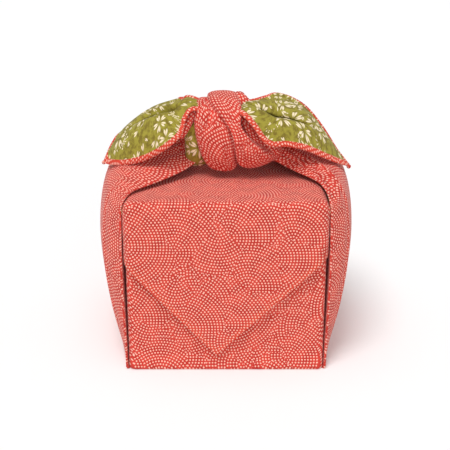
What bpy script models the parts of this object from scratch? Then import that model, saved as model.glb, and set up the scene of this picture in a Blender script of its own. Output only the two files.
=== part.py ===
"""Furoshiki wrap: one square cloth folded round a plain box and tied on top in a square knot.

The near corner lies over the box, the far corner comes over the top and hangs down the front
as a triangle, and the left and right corners are drawn up the sides, gathered and knotted.
Origin at the middle of the base, +Z up, the front at -Y. Tables are in millimetres.
"""
import math

import bmesh
import bpy
import numpy as np

MM = 0.001

# The box inside the cloth.
BOX_HALF = 50.5
BOX_BOTTOM = 1.3
BOX_TOP = 95.0
BOX_BEVEL = 1.5

# The cloth: a sheet this thick, whose mid-surface runs at these distances.
CLOTH_THICKNESS = 1.0
PANEL_HALF = 53.5
CORNER_RADIUS = 3.0
LAYER_STEP = 1.4
BASE_HALF_X = 56.6
BASE_HALF_Y = 53.8
NEAR_CORNER_Z = 97.6
FAR_CORNER_Z = 99.2

# The far corner's triangle on the front.
FLAP_STANDOFF = 1.5
FLAP_TIP_X = -7.0
FLAP_TIP_Z = 8.7
FLAP_HALF = 52.5
FLAP_TIP_HALF_WIDTH = 0.5

# How far the back panel swells over the near corner, which hangs behind the box.
BACK_CROWN = 1.5

# Face planes at a point that differ by less than this are moved out as one.
FOLD_FLATNESS = 0.35

# How many columns of the mesh run across each part of the cloth.
FRONT_COLUMNS = 7
STRIP_COLUMNS = 17
PLEAT_TURNED = 4

# Where a pleat's outer layer starts to lean out, as a share of its depth, and how far its last fold
# stands behind the front panel.
PLEAT_LEAN = 0.45
PLEAT_END = 1.0
PLEAT_ROLL = 0.2

# A strip reaches the height beside its folds over this share of its half width, and is this full.
STRIP_EDGE = 0.2
STRIP_FULLNESS = 2.4

# Over the top, a strip's turned-under layers lie this far below it, in this direction.
UNDER_STEP = 1.68
UNDER_UP = (0.45, 0.0, 0.9)
PLEATS_ACROSS = 8

# The wall by height: how deep the pleat behind each upright edge is, how far the strip's front fold
# stands off, how far the strip stands off beside its fold and in its middle.
WALL_ROWS = [
    {"z": 0.15, "pleat": 5.0, "fold": 0.0, "side": 0.0, "middle": 0.2},
    {"z": 9.0, "pleat": 8.0, "fold": 0.4, "side": 0.9, "middle": 3.2},
    {"z": 20.0, "pleat": 14.0, "fold": 0.8, "side": 2.2, "middle": 6.4},
    {"z": 36.0, "pleat": 22.0, "fold": 1.2, "side": 3.8, "middle": 10.4},
    {"z": 52.0, "pleat": 30.0, "fold": 1.4, "side": 5.0, "middle": 13.2},
    {"z": 68.0, "pleat": 36.0, "fold": 1.4, "side": 5.6, "middle": 14.6},
    {"z": 82.0, "pleat": 40.0, "fold": 1.0, "side": 5.2, "middle": 14.4},
    {"z": 94.5, "pleat": 42.0, "fold": 0.6, "side": 4.0, "middle": 12.8},
]

# The right strip's two folds and middle over the top, row by row to the knot. The left strip is the
# same, turned half round.
STRIP_FRONT = [
    (56.0, -51.5, 100.8),
    (54.5, -41.5, 103.0),
    (50.0, -29.5, 104.0),
    (42.0, -18.5, 105.0),
    (31.5, -11.0, 107.6),
    (18.0, -8.5, 111.5),
]
STRIP_MIDDLE = [
    (66.0, 0.0, 103.2),
    (60.5, 0.0, 107.0),
    (53.5, 0.0, 109.2),
    (43.5, 0.0, 111.2),
    (31.0, 0.0, 113.0),
    (18.0, 0.0, 115.0),
]
STRIP_BACK = [
    (55.0, 52.0, 100.8),
    (52.0, 46.5, 103.0),
    (46.0, 38.0, 104.0),
    (36.0, 28.0, 105.0),
    (24.0, 16.0, 107.2),
    (15.0, 8.5, 111.0),
]

# How high the strip's soft pleats stand in each of those rows, and how much cloth is turned under.
STRIP_PLEATS = [0.3, 0.6, 1.0, 1.4, 1.2, 0.8]
STRIP_TURNED = [18.0, 12.0, 9.0, 6.0, 4.0, 3.0]

# The gathered cloth of one corner, in three stretches: the lobe that the strip runs into, the band up
# the front of the knot, and the ear out to its tip. Each row is one section: its middle, its width and
# thickness, the direction of its width, and how far it is cupped. The other corner is the same, turned.
LOBE = [
    {"centre": (34.0, 1.0, 110.5), "width": 20.0, "thick": 5.0, "across": (0.0, 1.0, 0.1), "cup": 0.0},
    {"centre": (27.0, -4.5, 111.5), "width": 18.0, "thick": 11.0, "across": (0.1, 0.9, -0.4), "cup": 0.0},
    {"centre": (19.0, -9.0, 113.0), "width": 18.0, "thick": 14.0, "across": (0.2, 0.8, -0.6), "cup": 0.0},
    {"centre": (9.0, -11.0, 115.0), "width": 18.0, "thick": 15.0, "across": (0.2, 0.7, -0.7), "cup": 0.0},
    {"centre": (0.0, -10.0, 117.0), "width": 16.0, "thick": 13.0, "across": (0.2, 0.7, -0.7), "cup": 0.0},
]
BAND = [
    {"centre": (4.0, -12.0, 107.0), "width": 22.0, "thick": 9.0, "across": (1.0, 0.0, 0.2), "cup": 0.0},
    {"centre": (1.5, -15.0, 115.0), "width": 30.0, "thick": 13.0, "across": (1.0, 0.0, 0.1), "cup": 0.0},
    {"centre": (-1.5, -15.5, 125.0), "width": 31.0, "thick": 14.0, "across": (1.0, 0.0, 0.0), "cup": 0.0},
    {"centre": (-3.0, -12.5, 134.0), "width": 28.0, "thick": 14.0, "across": (1.0, 0.0, 0.0), "cup": 0.0},
    {"centre": (-2.5, -6.5, 141.0), "width": 24.0, "thick": 11.0, "across": (1.0, 0.0, 0.0), "cup": 0.0},
    {"centre": (-1.0, 1.0, 142.0), "width": 20.0, "thick": 9.0, "across": (1.0, 0.0, 0.0), "cup": 0.0},
]
EAR = [
    {"centre": (2.0, -2.0, 137.0), "width": 18.0, "thick": 9.0, "across": (0.0, 1.0, 0.3), "cup": 0.0},
    {"centre": (9.0, -3.5, 136.5), "width": 21.0, "thick": 8.0, "across": (0.0, 0.95, 0.45), "cup": 1.0},
    {"centre": (17.0, -6.0, 133.5), "width": 28.0, "thick": 4.0, "across": (0.0, 0.85, 0.6), "cup": 3.0},
    {"centre": (25.0, -8.0, 131.0), "width": 34.0, "thick": 1.4, "across": (0.0, 0.8, 0.65), "cup": 4.0},
    {"centre": (35.0, -9.0, 128.5), "width": 35.0, "thick": 1.2, "across": (0.0, 0.8, 0.6), "cup": 4.0},
    {"centre": (46.0, -9.5, 123.0), "width": 31.0, "thick": 1.2, "across": (0.0, 0.85, 0.5), "cup": 3.0},
    {"centre": (56.0, -9.5, 115.8), "width": 22.0, "thick": 1.2, "across": (0.0, 0.9, 0.4), "cup": 2.0},
    {"centre": (64.0, -9.0, 109.4), "width": 10.0, "thick": 1.2, "across": (0.0, 0.95, 0.3), "cup": 0.8},
    {"centre": (68.5, -9.0, 106.9), "width": 2.4, "thick": 1.2, "across": (0.0, 1.0, 0.2), "cup": 0.0},
]
KNOT_CORE = {"centre": (0.0, 0.0, 125.0), "radii": (13.0, 12.0, 15.0)}
STRAND_SIDES = 9


def clear_scene():
    """Start from an empty file."""
    for item in list(bpy.data.objects):
        bpy.data.objects.remove(item, do_unlink=True)


def principled(name, colour, roughness):
    """A plain material with one colour and one roughness."""
    material = bpy.data.materials.new(name)
    material.use_nodes = True
    shader = material.node_tree.nodes["Principled BSDF"]
    shader.inputs["Base Color"].default_value = (*colour, 1.0)
    shader.inputs["Roughness"].default_value = roughness
    shader.inputs["Metallic"].default_value = 0.0
    return material


def pleat_points(row):
    """The plan of one upright edge's pleat, from the front panel to the strip.

    Each point is how far it lies outside the panel's side plane, and how far behind the front plane.
    """
    depth = row["pleat"]
    fold = LAYER_STEP + row["fold"]
    half_step = LAYER_STEP / 2
    return [
        (0.0, depth),
        (half_step, depth + half_step),
        (LAYER_STEP, depth),
        ((LAYER_STEP + fold) / 2, depth * PLEAT_LEAN),
        (fold, PLEAT_END),
        (fold + half_step, PLEAT_ROLL),
    ]


def strip_points(row):
    """The plan of one side strip at one height, from its front fold to its back fold."""
    start = -PANEL_HALF + PLEAT_END
    first = LAYER_STEP * 2 + row["fold"]
    points = []
    for index in range(STRIP_COLUMNS):
        across = -1 + 2 * index / (STRIP_COLUMNS - 1)
        edge = min(1.0, (1 - abs(across)) / STRIP_EDGE)
        crown = 1 - abs(across) ** STRIP_FULLNESS
        beside = row["side"] * math.sin(edge * math.pi / 2)
        out = first + beside + (row["middle"] - row["side"]) * crown
        points.append((PANEL_HALF + out, start * -across))
    return points


def panel_points():
    """The x of each column across the front panel."""
    half = PANEL_HALF - CORNER_RADIUS
    return [-half + 2 * half * index / (FRONT_COLUMNS - 1) for index in range(FRONT_COLUMNS)]


def corner_points():
    """The rounded upright edge, as distances inside the side plane and behind the front plane."""
    points = []
    for degrees in (45, 90):
        angle = math.radians(degrees)
        points.append((CORNER_RADIUS * (math.sin(angle) - 1), CORNER_RADIUS * (1 - math.cos(angle))))
    return points


def wall_ring(row):
    """One closed ring of the wall in plan, anticlockwise from the front panel's left end."""
    corner = corner_points() + pleat_points(row)
    front_to_side = [(PANEL_HALF + out, -PANEL_HALF + back) for out, back in corner]
    back_to_side = [(x, -y) for x, y in reversed(front_to_side)]
    front = [(x, -PANEL_HALF) for x in panel_points()]
    swell = BACK_CROWN * math.sin(math.pi * row["z"] / WALL_ROWS[-1]["z"])
    back = [(-x, PANEL_HALF + swell * (1 - (x / PANEL_HALF) ** 2)) for x in panel_points()]
    sides = front_to_side + strip_points(row) + back_to_side
    ring = front + sides + back + [(-x, -y) for x, y in sides]
    return [(x, y, row["z"]) for x, y in ring]


class Surface:
    """A mid-surface built from grids that share their edge points."""

    def __init__(self):
        self.points = []
        self.faces = []

    def add_rows(self, rows, closed=False):
        """Join rows of point numbers with four-sided faces."""
        for low, high in zip(rows, rows[1:]):
            count = len(low)
            for index in range(count if closed else count - 1):
                after = (index + 1) % count
                self.faces.append((low[index], low[after], high[after], high[index]))

    def add_points(self, row):
        """Store a row of points and return their numbers."""
        first = len(self.points)
        self.points.extend(row)
        return list(range(first, first + len(row)))


def thicken(surface, name):
    """Give a mid-surface its thickness: each face plane moves out by half of it on both sides."""
    points = np.array(surface.points, dtype=float)
    normals = [[] for _ in points]
    for face in surface.faces:
        corners = points[list(face)]
        area = np.zeros(3)
        for index in range(len(face)):
            area += np.cross(corners[index], corners[(index + 1) % len(face)])
        length = np.linalg.norm(area)
        if length > 1e-9:
            for number in face:
                normals[number].append(area / length)
    offsets = np.zeros_like(points)
    for number, planes in enumerate(normals):
        if not planes:
            continue
        matrix = np.array(planes)
        reach = np.linalg.pinv(matrix, rcond=FOLD_FLATNESS) @ np.ones(len(planes))
        offsets[number] = reach * CLOTH_THICKNESS / 2
    outer = points + offsets
    inner = points - offsets
    count = len(points)
    mesh = bmesh.new()
    verts = [mesh.verts.new(in_metres(point)) for point in np.vstack([outer, inner])]
    edges = {}
    for face in surface.faces:
        mesh.faces.new([verts[number] for number in face])
        mesh.faces.new([verts[number + count] for number in reversed(face)])
        for index in range(len(face)):
            start, end = face[index], face[(index + 1) % len(face)]
            edges[(start, end)] = edges.get((start, end), 0) + 1
    for start, end in list(edges):
        if (end, start) not in edges:
            mesh.faces.new([verts[end], verts[start], verts[start + count], verts[end + count]])
    return mesh_object(mesh, name)


def in_metres(point):
    """A point in metres from one in millimetres."""
    return (point[0] * MM, point[1] * MM, point[2] * MM)


def mesh_object(mesh, name):
    """Finish a bmesh as an object whose faces point outwards."""
    bmesh.ops.triangulate(mesh, faces=[face for face in mesh.faces if len(face.verts) > 3])
    bmesh.ops.recalc_face_normals(mesh, faces=mesh.faces)
    data = bpy.data.meshes.new(name)
    mesh.to_mesh(data)
    mesh.free()
    item = bpy.data.objects.new(name, data)
    bpy.context.scene.collection.objects.link(item)
    return item


def corner_columns():
    """The columns of the front and back panels with their rounded upright edges: x and set-back."""
    side = [(PANEL_HALF + out, back) for out, back in corner_points()]
    columns = [(x, 0.0) for x in panel_points()]
    return [(-x, back) for x, back in reversed(side)] + columns + side


def near_corner_rows(surface, first_row):
    """The near corner turned in over the box top, with a plain end, hidden under the far corner."""
    rows = [first_row]
    bend = CORNER_RADIUS
    path = [
        {"y": -PANEL_HALF + bend * 0.3, "z": NEAR_CORNER_Z - bend * 0.3, "taper": 1.0, "set_back": 0.8},
        {"y": -PANEL_HALF + bend, "z": NEAR_CORNER_Z, "taper": 0.985, "set_back": 0.4},
        {"y": 0.0, "z": NEAR_CORNER_Z - 0.3, "taper": 0.96, "set_back": 0.0},
        {"y": 44.0, "z": NEAR_CORNER_Z, "taper": 0.93, "set_back": 0.0},
    ]
    for row in path:
        columns = []
        for x, back in corner_columns():
            columns.append((x * row["taper"], row["y"] + back * row["set_back"], row["z"]))
        rows.append(surface.add_points(columns))
    surface.add_rows(rows)


def far_corner_rows(surface, first_row):
    """The far corner over the top and down the front, ending in a triangle."""
    front = -PANEL_HALF - FLAP_STANDOFF
    bend = CORNER_RADIUS
    path = [
        {"y": PANEL_HALF - bend * 0.3, "z": FAR_CORNER_Z - bend * 0.3, "set_back": -0.8},
        {"y": PANEL_HALF - bend, "z": FAR_CORNER_Z, "set_back": -0.4},
        {"y": 20.0, "z": FAR_CORNER_Z - 0.2, "set_back": 0.0},
        {"y": -20.0, "z": FAR_CORNER_Z - 0.2, "set_back": 0.0},
        {"y": front + bend, "z": FAR_CORNER_Z, "set_back": 0.0},
        {"y": front + bend * 0.3, "z": FAR_CORNER_Z - bend * 0.3, "set_back": 0.0},
        {"y": front, "z": FAR_CORNER_Z - bend, "set_back": 0.0},
    ]
    right_start = FLAP_TIP_Z + FLAP_HALF - FLAP_TIP_X
    left_start = FLAP_TIP_Z + FLAP_HALF + FLAP_TIP_X
    for z in (82.0, right_start, left_start, 38.0, 24.0, FLAP_TIP_Z + 2, FLAP_TIP_Z):
        path.append({"y": front, "z": z, "set_back": 0.0})
    rows = [first_row]
    for row in path:
        drop = max(row["z"] - FLAP_TIP_Z, FLAP_TIP_HALF_WIDTH)
        left = max(-FLAP_HALF, FLAP_TIP_X - drop)
        right = min(FLAP_HALF, FLAP_TIP_X + drop)
        columns = []
        for x, back in corner_columns():
            share = (x + PANEL_HALF) / (2 * PANEL_HALF)
            columns.append((right + (left - right) * share, row["y"] + back * row["set_back"], row["z"]))
        rows.append(surface.add_points(columns))
    surface.add_rows(rows)


def strip_section(row):
    """One section of the right strip over the top, from one turned-under edge to the other."""
    front = np.array(STRIP_FRONT[row])
    middle = np.array(STRIP_MIDDLE[row])
    back = np.array(STRIP_BACK[row])
    across = back - front
    along = across / np.linalg.norm(across)
    up = np.array(UNDER_UP)
    under = up * UNDER_STEP
    turned = STRIP_TURNED[row]
    rise = middle - (front + back) / 2
    front_edge = [front + along * inward - under for inward in (turned, turned * PLEAT_LEAN, PLEAT_END)]
    front_edge.append(front - along * PLEAT_ROLL - under / 2)
    back_edge = [back + along * PLEAT_ROLL - under / 2]
    back_edge += [back - along * inward - under for inward in (PLEAT_END, turned * PLEAT_LEAN, turned)]
    top = []
    for index in range(STRIP_COLUMNS):
        share = index / (STRIP_COLUMNS - 1)
        crown = 1 - abs(2 * share - 1) ** STRIP_FULLNESS
        fade = min(1.0, 6 * share, 6 * (1 - share))
        pleat = STRIP_PLEATS[row] * math.cos(share * PLEATS_ACROSS * math.pi) * fade
        top.append(front + across * share + rise * crown - up * pleat)
    return front_edge + top + back_edge


def strip_rows(surface, first_row, turn):
    """One side strip from the wall over the top to the knot; turn is -1 for the left one."""
    rows = [first_row]
    for row in range(len(STRIP_FRONT)):
        placed = [(turn * x, turn * y, z) for x, y, z in strip_section(row)]
        rows.append(surface.add_points(placed))
    surface.add_rows(rows)


def wrapped_cloth():
    """The cloth round the box: base, wall, near corner, far corner and the two side strips."""
    surface = Surface()
    rings = [surface.add_points(wall_ring(row)) for row in WALL_ROWS]
    surface.add_rows(rings, closed=True)
    top = rings[-1]
    half = len(top) // 2
    edge = len(corner_points())
    pleat = len(pleat_points(WALL_ROWS[0]))
    near_corner_rows(surface, top[-edge:] + top[:FRONT_COLUMNS + edge])
    far_corner_rows(surface, top[half - edge:half + FRONT_COLUMNS + edge])
    first = FRONT_COLUMNS + edge + pleat - PLEAT_TURNED
    last = first + STRIP_COLUMNS + 2 * PLEAT_TURNED
    strip_rows(surface, top[first:last], 1)
    strip_rows(surface, top[half + first:half + last], -1)
    return thicken(surface, "furoshiki")


def strand_section(row, before, after):
    """One closed section of a gathered strand, flat and cupped towards its ear."""
    centre = np.array(row["centre"])
    along = after - before
    along = along / np.linalg.norm(along)
    across = np.array(row["across"])
    across = across - along * (across @ along)
    across = across / np.linalg.norm(across)
    out = np.cross(across, along)
    upper = []
    lower = []
    for index in range(STRAND_SIDES):
        share = -1 + 2 * index / (STRAND_SIDES - 1)
        gathered = min(1.0, row["thick"] / 8)
        rounded = math.sqrt(max(0.0, 1 - share * share))
        thick = row["thick"] / 2 * (rounded * gathered + (1 - gathered))
        thick = max(thick, 0.5)
        sag = row["cup"] * (share * share - 0.5)
        ridge = 0.8 * gathered * math.cos(share * 3 * math.pi)
        point = centre + across * share * row["width"] / 2 + out * sag
        upper.append(point + out * (thick + ridge * (1 - abs(share))))
        lower.append(point - out * thick)
    return upper + lower[::-1]


def strand(table, turn, name):
    """One corner's gathered cloth, as a closed loft from the strip through the knot to the ear's tip."""
    centres = [np.array(row["centre"]) for row in table]
    mesh = bmesh.new()
    rings = []
    for index, row in enumerate(table):
        before = centres[max(index - 1, 0)]
        after = centres[min(index + 1, len(table) - 1)]
        section = strand_section(row, before, after)
        placed = [(turn * x, turn * y, z) for x, y, z in section]
        rings.append([mesh.verts.new(in_metres(point)) for point in placed])
    for low, high in zip(rings, rings[1:]):
        for index in range(len(low)):
            after = (index + 1) % len(low)
            mesh.faces.new([low[index], low[after], high[after], high[index]])
    mesh.faces.new(list(reversed(rings[0])))
    mesh.faces.new(rings[-1])
    return mesh_object(mesh, name)


def join_solid(target, other):
    """Join another closed solid into this one, so that both are one body."""
    union = target.modifiers.new("join_" + other.name, "BOOLEAN")
    union.operation = "UNION"
    union.solver = "EXACT"
    union.object = other
    other.hide_render = True
    other.hide_viewport = False
    other.display_type = "WIRE"


def knot_core():
    """The tight middle of the knot, where the two corners press on each other."""
    mesh = bmesh.new()
    bmesh.ops.create_icosphere(mesh, subdivisions=2, radius=1.0)
    for vert in mesh.verts:
        vert.co = in_metres([middle + radius * value for middle, radius, value
                           in zip(KNOT_CORE["centre"], KNOT_CORE["radii"], vert.co)])
    return mesh_object(mesh, "knot_core")


def cloth_base():
    """The flat of the cloth under the box, out to the foot of every side."""
    mesh = block(BASE_HALF_X, BASE_HALF_Y, 0.0, CLOTH_THICKNESS)
    half = CLOTH_THICKNESS * MM / 2
    uprights = [edge for edge in mesh.edges if abs(edge.verts[0].co.z - edge.verts[1].co.z) > half]
    bmesh.ops.bevel(mesh, geom=uprights, offset=CORNER_RADIUS * MM, segments=3, profile=0.5, affect="EDGES")
    return mesh_object(mesh, "cloth_base")


def build_furoshiki():
    """The whole cloth as one solid."""
    cloth = wrapped_cloth()
    join_solid(cloth, cloth_base())
    join_solid(cloth, knot_core())
    for name, table in (("lobe", LOBE), ("band", BAND), ("ear", EAR)):
        join_solid(cloth, strand(table, 1, "right_" + name))
        join_solid(cloth, strand(table, -1, "left_" + name))
    cloth.data.materials.append(principled("cotton", (0.72, 0.16, 0.12), 0.9))
    return cloth


def block(half_x, half_y, bottom, top):
    """A plain block as a bmesh."""
    mesh = bmesh.new()
    bmesh.ops.create_cube(mesh, size=1.0)
    for vert in mesh.verts:
        vert.co.x *= 2 * half_x * MM
        vert.co.y *= 2 * half_y * MM
        vert.co.z = (vert.co.z * (top - bottom) + (top + bottom) / 2) * MM
    return mesh


def build_box():
    """The plain box that the cloth is wrapped round."""
    box = mesh_object(block(BOX_HALF, BOX_HALF, BOX_BOTTOM, BOX_TOP), "box")
    bevel = box.modifiers.new("soft_edges", "BEVEL")
    bevel.width = BOX_BEVEL * MM
    bevel.segments = 2
    box.data.materials.append(principled("paulownia", (0.62, 0.45, 0.28), 0.6))
    return box


clear_scene()
build_furoshiki()
build_box()
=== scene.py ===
import math

import bpy
import numpy as np
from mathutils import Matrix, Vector, noise


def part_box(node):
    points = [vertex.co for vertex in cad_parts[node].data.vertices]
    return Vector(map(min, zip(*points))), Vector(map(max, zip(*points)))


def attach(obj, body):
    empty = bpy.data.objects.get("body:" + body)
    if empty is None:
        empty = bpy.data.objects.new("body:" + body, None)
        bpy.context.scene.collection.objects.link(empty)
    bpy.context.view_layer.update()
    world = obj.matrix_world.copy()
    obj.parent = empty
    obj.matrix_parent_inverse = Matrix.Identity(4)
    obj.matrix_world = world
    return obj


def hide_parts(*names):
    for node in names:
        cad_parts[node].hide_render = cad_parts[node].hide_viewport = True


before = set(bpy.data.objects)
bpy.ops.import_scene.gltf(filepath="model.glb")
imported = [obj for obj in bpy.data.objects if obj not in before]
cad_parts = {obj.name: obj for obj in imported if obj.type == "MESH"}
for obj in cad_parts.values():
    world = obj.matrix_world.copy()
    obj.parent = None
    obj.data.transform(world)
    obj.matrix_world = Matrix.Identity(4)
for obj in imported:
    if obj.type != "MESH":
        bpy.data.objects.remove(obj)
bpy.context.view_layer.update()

# ---- The box inside ----------------------------------------------------------------------------------
# A plain lidded box of thin, pale, unfinished wood. The cloth is folded and tied round it and holds it
# on all sides, so nothing of it shows. It keeps the CAD shape, and only its finish is made here.

MM = 0.001
WOOD_DARK = (0.50, 0.34, 0.20, 1.0)
WOOD_PALE = (0.66, 0.49, 0.31, 1.0)
WOOD_ROUGH = 0.6
GRAIN_STRETCH = (60.0, 60.0, 900.0)


class Nodes:
    """Shader nodes of one material, made one after another."""

    def __init__(self, name):
        self.material = bpy.data.materials.new(name)
        self.material.use_nodes = True
        self.tree = self.material.node_tree
        self.shader = self.tree.nodes["Principled BSDF"]

    def add(self, kind, inputs, output=0, **settings):
        node = self.tree.nodes.new(kind)
        for name, value in settings.items():
            setattr(node, name, value)
        for key, value in inputs.items():
            if isinstance(value, bpy.types.NodeSocket):
                self.tree.links.new(value, node.inputs[key])
            else:
                node.inputs[key].default_value = value
        return node.outputs[output]

    def math(self, operation, *values):
        return self.add("ShaderNodeMath", dict(enumerate(values)), operation=operation)

    def vector(self, operation, *values, output=0):
        return self.add("ShaderNodeVectorMath", dict(enumerate(values)), output, operation=operation)

    def scale(self, vector, factor):
        scaled = self.vector("SCALE", vector)
        scaled.node.inputs["Scale"].default_value = factor
        return scaled

    def mix(self, share, first, second):
        colours = {"Factor": share, "A": first, "B": second}
        return self.add("ShaderNodeMix", colours, "Result", data_type="RGBA")

    def mix_vector(self, share, first, second):
        return self.add("ShaderNodeMix", {0: share, 4: first, 5: second}, 1, data_type="VECTOR")

    def noise(self, place, scale, detail, **settings):
        inputs = {"Vector": place, "Scale": scale, "Detail": detail}
        inputs.update(settings)
        return self.add("ShaderNodeTexNoise", inputs, noise_dimensions="2D")

    def step(self, value, low, high):
        """0 below low, 1 above high, and a smooth step between them."""
        return self.add("ShaderNodeMapRange", {"Value": value, "From Min": low, "From Max": high},
                        interpolation_type="SMOOTHSTEP")

    def cells(self, place, spacing, seed, looseness):
        """The nearest centre of a loose grid of centres: its place, its distance and its random colour."""
        shift = (seed, seed * 1.7, 0.0)
        at = self.vector("ADD", self.scale(place, 1 / spacing), shift)
        inputs = {"Vector": at, "Scale": 1.0, "Randomness": looseness}
        centre = self.add("ShaderNodeTexVoronoi", inputs, "Position", voronoi_dimensions="2D")
        found = centre.node.outputs
        back = self.scale(self.vector("SUBTRACT", centre, shift), spacing)
        return back, self.math("MULTIPLY", found["Distance"], spacing), found["Color"]


wood = Nodes("pale_wood")
wood_place = wood.add("ShaderNodeTexCoord", {}, "Object")
stretched = wood.vector("MULTIPLY", wood_place, GRAIN_STRETCH)
grain = wood.add("ShaderNodeTexNoise", {"Vector": stretched, "Scale": 1.0, "Detail": 6.0})
wood_colour = wood.mix(wood.step(grain, 0.35, 0.7), WOOD_DARK, WOOD_PALE)
wood.tree.links.new(wood_colour, wood.shader.inputs["Base Color"])
wood.shader.inputs["Roughness"].default_value = WOOD_ROUGH
box_inside = bpy.data.objects["box"]
box_inside.data.materials.clear()
box_inside.data.materials.append(wood.material)

# ---- The cloth: its body round the box ---------------------------------------------------------------
# One square of thin cotton, printed on both faces, goes up all four sides of the box. Behind each
# upright edge it folds back and forth, so the near and far corners lie flat on the front and back, and
# the side strips stand off like a sail, pulled in at the base and up to the knot.

box_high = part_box("box")[1]
TOP = box_high[2] / MM
LAYERS_ROUND_BOX = 3.3
PANEL = box_high[0] / MM + LAYERS_ROUND_BOX
EDGE_ROUND = 3.0
FOLD_GAP = 0.8
FOLD_SET_BACK = 1.0
EDGE_ROLL = 0.4
FRONT_COLUMNS = 35
WALL_STEPS = 28
INNER_STEPS = 6
TURN_ANGLES = np.radians([45, 90, 135])
NO_HEM = 60.0


def table_of(names, rows):
    """A table's rows, each value under its column's name."""
    return [dict(zip(names.split(), row)) for row in rows]


# By height: how deep the pleat is, how far out its front fold stands, and how far the strip stands
# off beside that fold and in its middle.
WALL = table_of("z pleat fold side middle", [
    [1.2, 5.0, 0.0, 0.1, 0.3],
    [9.0, 6.8, 0.3, 0.9, 3.2],
    [20.0, 13.5, 0.6, 2.2, 6.4],
    [36.0, 24.5, 1.0, 3.8, 10.4],
    [52.0, 35.5, 1.3, 5.0, 13.2],
    [68.0, 46.0, 1.3, 5.6, 14.6],
    [82.0, 52.0, 1.0, 5.2, 14.4],
    [94.5, 52.0, 0.6, 4.0, 12.8],
])
# The right strip over the top, up to the knot: its front fold, middle and back fold, how far it stands
# off beside its folds, and how much cloth is turned under at each of them.
STRIP_TOP = table_of("front middle back side turned", [
    [(55.4, -52.2, 98.6), (66.0, 0.0, 101.5), (54.8, 52.2, 98.6), 2.4, 47],
    [(54.2, -43.5, 101.2), (61.5, 0.0, 106.0), (52.7, 47.5, 100.8), 2.0, 38],
    [(51.7, -32.5, 102.0), (56.0, 0.0, 108.2), (49.5, 41.5, 101.7), 1.8, 31],
    [(47.0, -24.0, 102.5), (49.5, 0.0, 109.6), (42.5, 34.5, 102.3), 2.2, 25],
    [(41.0, -18.0, 103.5), (42.0, 0.0, 110.8), (34.0, 26.5, 103.2), 2.0, 20],
    [(34.5, -12.5, 105.2), (34.0, 0.0, 112.0), (25.5, 18.0, 104.6), 1.8, 14],
    [(27.0, -9.0, 108.4), (26.5, 0.0, 113.4), (19.5, 12.5, 106.8), 1.4, 9],
    [(18.0, -8.5, 111.5), (18.0, 0.0, 115.0), (14.0, 8.5, 109.5), 1.0, 7],
])
# Folds along the strip: measured in from its front or back fold, at the start and end of the stretch
# they run over, counted in the rows above; how high they stand and how wide they are.
STRIP_FOLDS = table_of("from in height width start end", [
    ["front", (2.2, 5.0), 2.0, 1.8, 7.2, 15.0],
    ["front", (5.2, 9.5), 2.0, 2.4, 7.4, 15.0],
    ["front", (9.5, 15.0), 1.4, 3.0, 8.2, 15.0],
    ["front", (9.0, 13.0), 0.8, 4.0, 1.5, 8.0],
    ["back", (8.0, 12.0), 0.8, 4.5, 1.5, 7.5],
    ["back", (10.0, 13.0), 0.7, 5.0, 9.0, 15.0],
    ["back", (3.0, 5.0), 0.5, 2.5, 11.0, 15.0],
])
# The strip rises steeply beside its folds to a flat crown. Near the knot it gathers into small waves.
SHOULDER = 5.0
CROWN = 2.4
GATHERS = {"from": len(WALL) + 2, "over": 4, "high": 0.7, "count": 9}
# The feet of the walls turn in under the box, and the front and back flare a little above them.
FOOT = table_of("z pull", [
    [0.26, 0.955],
    [0.45, 0.992],
])
FLARE = {"out": 2.4, "high": 14.0, "reach": 12.0}
BACK_SWELL = 1.4
BODY_HIGH = 100.0


class Cloth:
    """The cloth's middle surface, laid in rows of points."""

    def __init__(self):
        self.points = []
        self.places = []
        self.hems = []
        self.quads = []
        self.count = 0

    def row(self, points, places, hems=None):
        points = np.asarray(points, dtype=float)
        self.points.append(points)
        self.places.append(np.asarray(places, dtype=float))
        self.hems.append(np.full(len(points), NO_HEM) if hems is None else np.asarray(hems, dtype=float))
        self.count += len(points)
        return np.arange(self.count - len(points), self.count)

    def join(self, rows, closed=False):
        for low, high in zip(rows, rows[1:]):
            if closed:
                low, high = np.append(low, low[0]), np.append(high, high[0])
            self.quads.append(np.stack([low[:-1], low[1:], high[1:], high[:-1]], axis=1))


def through(values, at):
    """A smooth curve through evenly spaced values, read at one place or many."""
    values = np.asarray(values, dtype=float)
    at = np.clip(np.asarray(at, dtype=float), 0, len(values) - 1)
    low = np.minimum(at.astype(int), len(values) - 2)
    part = at - low
    slopes = np.gradient(values, axis=0)
    if values.ndim > 1:
        part = part[..., None] if np.ndim(part) else part
    a, b, c, d = values[low], values[low + 1], slopes[low], slopes[low + 1]
    square, cube = part ** 2, part ** 3
    return (2 * cube - 3 * square + 1) * a + (cube - 2 * square + part) * c + (3 * square - 2 * cube) * b + (
        cube - square) * d


def lengths(points):
    """How far along a line of points each one is."""
    steps = np.linalg.norm(np.diff(points, axis=0), axis=1)
    return np.concatenate([[0.0], np.cumsum(steps)])


def unit(vector):
    return vector / np.linalg.norm(vector)


def read_table(table, name, at):
    """One column of a table, read as a smooth curve at one place or many, counted in its rows."""
    return through([row[name] for row in table], at)


cloth = Cloth()
last_wall = len(WALL) - 1
last_place = last_wall + len(STRIP_TOP)
strip_lines = {"front": [], "middle": [], "back": [], "side": [], "turned": []}
for row in WALL:
    start = PANEL + FOLD_GAP + row["fold"] + 2 * EDGE_ROLL
    strip_lines["front"].append((start, FOLD_SET_BACK - PANEL, row["z"]))
    strip_lines["middle"].append((start + row["middle"], 0.0, row["z"]))
    strip_lines["back"].append((start, PANEL - FOLD_SET_BACK, row["z"]))
    strip_lines["side"].append(row["side"])
    strip_lines["turned"].append(row["pleat"])
for row in STRIP_TOP:
    for name in strip_lines:
        strip_lines[name].append(row[name])
strip_lines = {name: np.array(values, dtype=float) for name, values in strip_lines.items()}


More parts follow.
